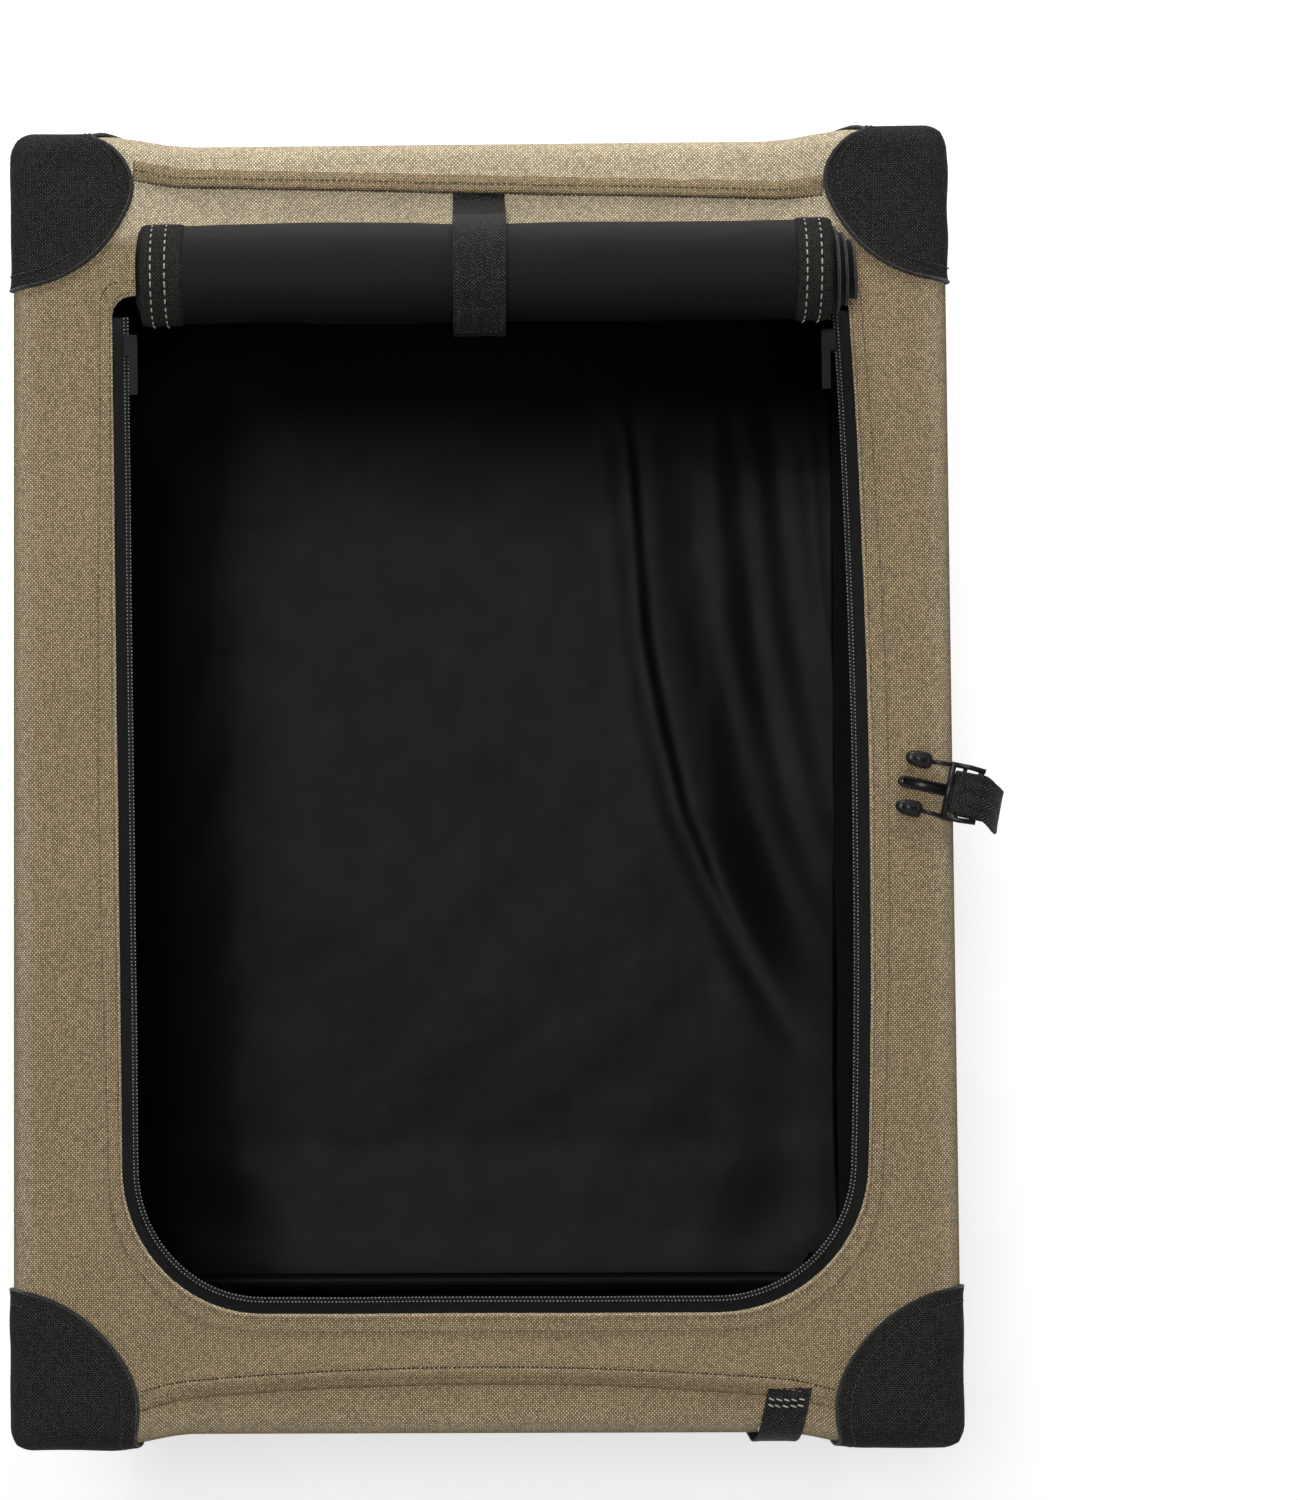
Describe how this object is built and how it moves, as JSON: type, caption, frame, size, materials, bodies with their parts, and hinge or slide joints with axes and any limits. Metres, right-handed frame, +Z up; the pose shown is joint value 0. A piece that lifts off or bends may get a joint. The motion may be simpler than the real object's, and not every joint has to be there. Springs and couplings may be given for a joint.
{
  "type": "soft folding dog crate",
  "caption": "Soft folding dog crate with a tan cloth cover over a folding steel tube frame, black corner caps and a zip-open top door rolled up at the rear",
  "frame": {"origin": "centre of the flat underside of the floor, midway between the outer faces of the corner caps", "axes": "+Z up, +Y to the rear, where the top door is rolled up, and +X to the right, where the buckle strap is"},
  "size_m": [0.5739, 0.7621, 0.5857],
  "materials": {
    "tan_cloth": "woven polyester, matt",
    "black_cloth": "woven polyester, matt",
    "lining": "smooth coated cloth, slight sheen",
    "window_mesh": "knitted mesh",
    "webbing": "herringbone webbing",
    "zip_tape": "woven tape with a nylon coil",
    "steel": "black powder coat",
    "plated": "nickel plate",
    "plastic": "satin moulded plastic"
  },
  "bodies": {
    "base": {"base_rail_left": "steel", "base_rail_right": "steel", "base_rail_front": "steel", "base_rail_rear": "steel", "base_elbow_front_left": "plastic", "base_elbow_front_right": "plastic", "base_elbow_rear_left": "plastic", "base_elbow_rear_right": "plastic", "base_pin_front_left": "plated", "base_pin_front_right": "plated", "base_pin_rear_left": "plated", "base_pin_rear_right": "plated", "floor_panel": "black_cloth", "floor_liner": "lining", "base_cap_front_left": "black_cloth", "base_cap_front_right": "black_cloth", "base_cap_rear_left": "black_cloth", "base_cap_rear_right": "black_cloth", "wall_left": "tan_cloth", "wall_right": "tan_cloth", "wall_front": "tan_cloth", "wall_rear": "tan_cloth", "window_mesh_left": "window_mesh", "window_mesh_right": "window_mesh"},
    "front_lower": {"front_lower_posts": "steel", "knee_pin_front_left": "plated", "knee_pin_front_right": "plated"},
    "front_upper": {"front_upper_posts": "steel"},
    "rear_lower": {"rear_lower_posts": "steel", "knee_pin_rear_left": "plated", "knee_pin_rear_right": "plated"},
    "rear_upper": {"rear_upper_posts": "steel"},
    "top": {"top_rail_left": "steel", "top_rail_right": "steel", "top_rail_front": "steel", "top_rail_rear": "steel", "top_elbow_front_left": "plastic", "top_elbow_front_right": "plastic", "top_elbow_rear_left": "plastic", "top_elbow_rear_right": "plastic", "top_pin_front_left": "plated", "top_pin_front_right": "plated", "top_pin_rear_left": "plated", "top_pin_rear_right": "plated", "top_panel": "tan_cloth", "top_zip_tape": "zip_tape", "top_door_roll": "black_cloth", "top_cap_front_left": "black_cloth", "top_cap_front_right": "black_cloth", "top_cap_rear_left": "black_cloth", "top_cap_rear_right": "black_cloth"},
    "roll_strap": {"roll_strap": "webbing"},
    "zip_slider_left": {"zip_slider_left": "plated"},
    "zip_slider_right": {"zip_slider_right": "plated"},
    "front_tab": {"front_tab": "webbing"},
    "right_strap": {"buckle_strap_right": "webbing", "buckle_male": "plastic"},
    "low_strap": {"buckle_strap_low": "webbing", "buckle_female": "plastic"},
    "front_door": {"front_door": "window_mesh"}
  },
  "joints": [
    {"name": "front_lower_fold", "type": "hinge", "parent": "base", "child": "front_lower", "pos_m": [0, -0.3478, 0.034], "axis": [-1, 0, 0], "range_deg": [0, 86], "deforming": ["wall_left", "wall_right", "wall_front", "wall_rear", "window_mesh_left", "window_mesh_right", "front_door", "top_cap_front_left", "top_cap_front_right", "top_cap_rear_left", "top_cap_rear_right", "base_cap_front_left", "base_cap_front_right", "base_cap_rear_left", "base_cap_rear_right"]},
    {"name": "front_upper_fold", "type": "hinge", "parent": "front_lower", "child": "front_upper", "pos_m": [0, -0.3478, 0.2665], "axis": [1, 0, 0], "range_deg": [0, 172]},
    {"name": "top_level", "type": "hinge", "parent": "front_upper", "child": "top", "pos_m": [0, -0.3478, 0.499], "axis": [-1, 0, 0], "range_deg": [0, 86]},
    {"name": "rear_lower_fold", "type": "hinge", "parent": "base", "child": "rear_lower", "pos_m": [0, 0.3478, 0.034], "axis": [1, 0, 0], "range_deg": [0, 86]},
    {"name": "rear_upper_fold", "type": "hinge", "parent": "rear_lower", "child": "rear_upper", "pos_m": [0, 0.3478, 0.2665], "axis": [-1, 0, 0], "range_deg": [0, 172]},
    {"name": "roll_strap_open", "type": "hinge", "parent": "top", "child": "roll_strap", "pos_m": [0, 0.3475, 0.5331], "axis": [-1, 0, 0], "range_deg": [0, 120]},
    {"name": "zip_slider_left_run", "type": "slide", "parent": "top", "child": "zip_slider_left", "axis": [0, -1, 0], "range_m": [0, 0.44]},
    {"name": "zip_slider_right_run", "type": "slide", "parent": "top", "child": "zip_slider_right", "axis": [0, -1, 0], "range_m": [0, 0.44]},
    {"name": "front_tab_lift", "type": "hinge", "parent": "top", "child": "front_tab", "pos_m": [0.171, -0.3486, 0.5331], "axis": [-1, 0, 0], "range_deg": [0, 150]},
    {"name": "right_strap_swing", "type": "hinge", "parent": "top", "child": "right_strap", "pos_m": [0.2731, 0, 0.489], "axis": [0, 1, 0], "range_deg": [0, 90]},
    {"name": "low_strap_swing", "type": "hinge", "parent": "base", "child": "low_strap", "pos_m": [0.2715, 0.045, 0.1], "axis": [0, -1, 0], "range_deg": [0, 90]},
    {"name": "front_door_swing", "type": "hinge", "parent": "top", "child": "front_door", "pos_m": [0, -0.3792, 0.455], "axis": [-1, 0, 0], "range_deg": [0, 150]}
  ],
  "couplings": [
    {"joint": "front_upper_fold", "follows": "front_lower_fold", "ratio": 2},
    {"joint": "top_level", "follows": "front_lower_fold", "ratio": 1},
    {"joint": "rear_lower_fold", "follows": "front_lower_fold", "ratio": 1},
    {"joint": "rear_upper_fold", "follows": "front_lower_fold", "ratio": 2}
  ]
}
